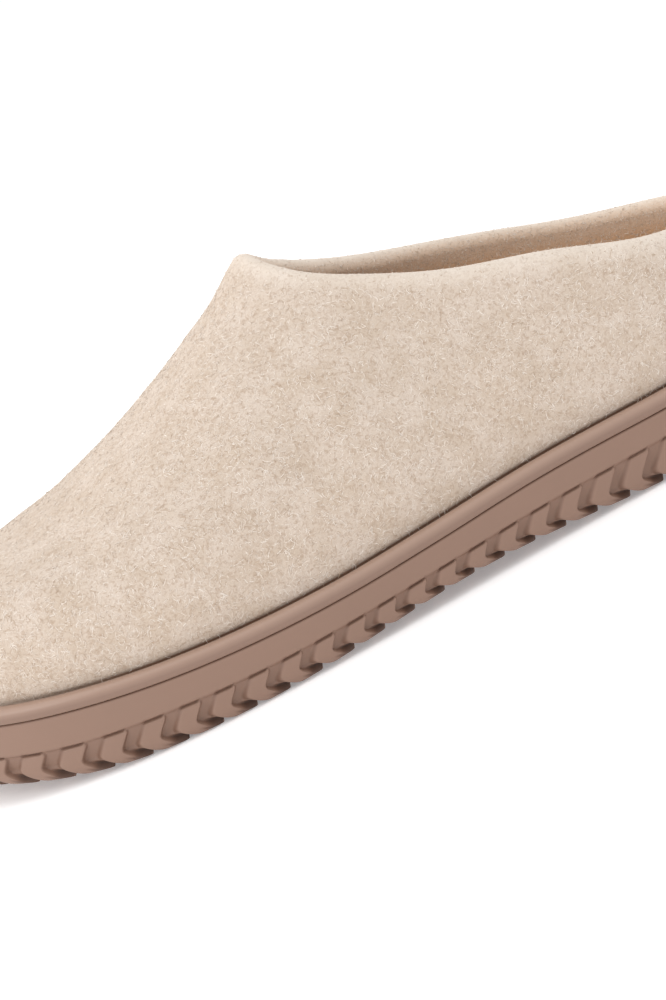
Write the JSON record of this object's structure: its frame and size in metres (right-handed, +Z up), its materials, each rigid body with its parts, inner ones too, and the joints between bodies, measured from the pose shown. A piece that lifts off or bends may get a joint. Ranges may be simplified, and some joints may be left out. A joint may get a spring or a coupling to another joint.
{
  "type": "wool slipper",
  "caption": "Left slip-on slipper of thick felt with a low open heel collar, a rubber bead and a taupe rubber cup sole with chevron lugs.",
  "frame": {"origin": "on the floor, under the middle of the sole's length and width", "axes": "+X from toe to heel, +Y to the inner side of the foot, +Z up"},
  "size_m": [0.2646, 0.1007, 0.098],
  "materials": {
    "felt": "matte, short curly nap",
    "footbed": "matte felt",
    "bead": "satin",
    "rubber": "satin to matte"
  },
  "bodies": {
    "root": {"upper": "felt", "insole": "footbed", "welt": "bead", "outsole": "rubber"}
  },
  "joints": []
}
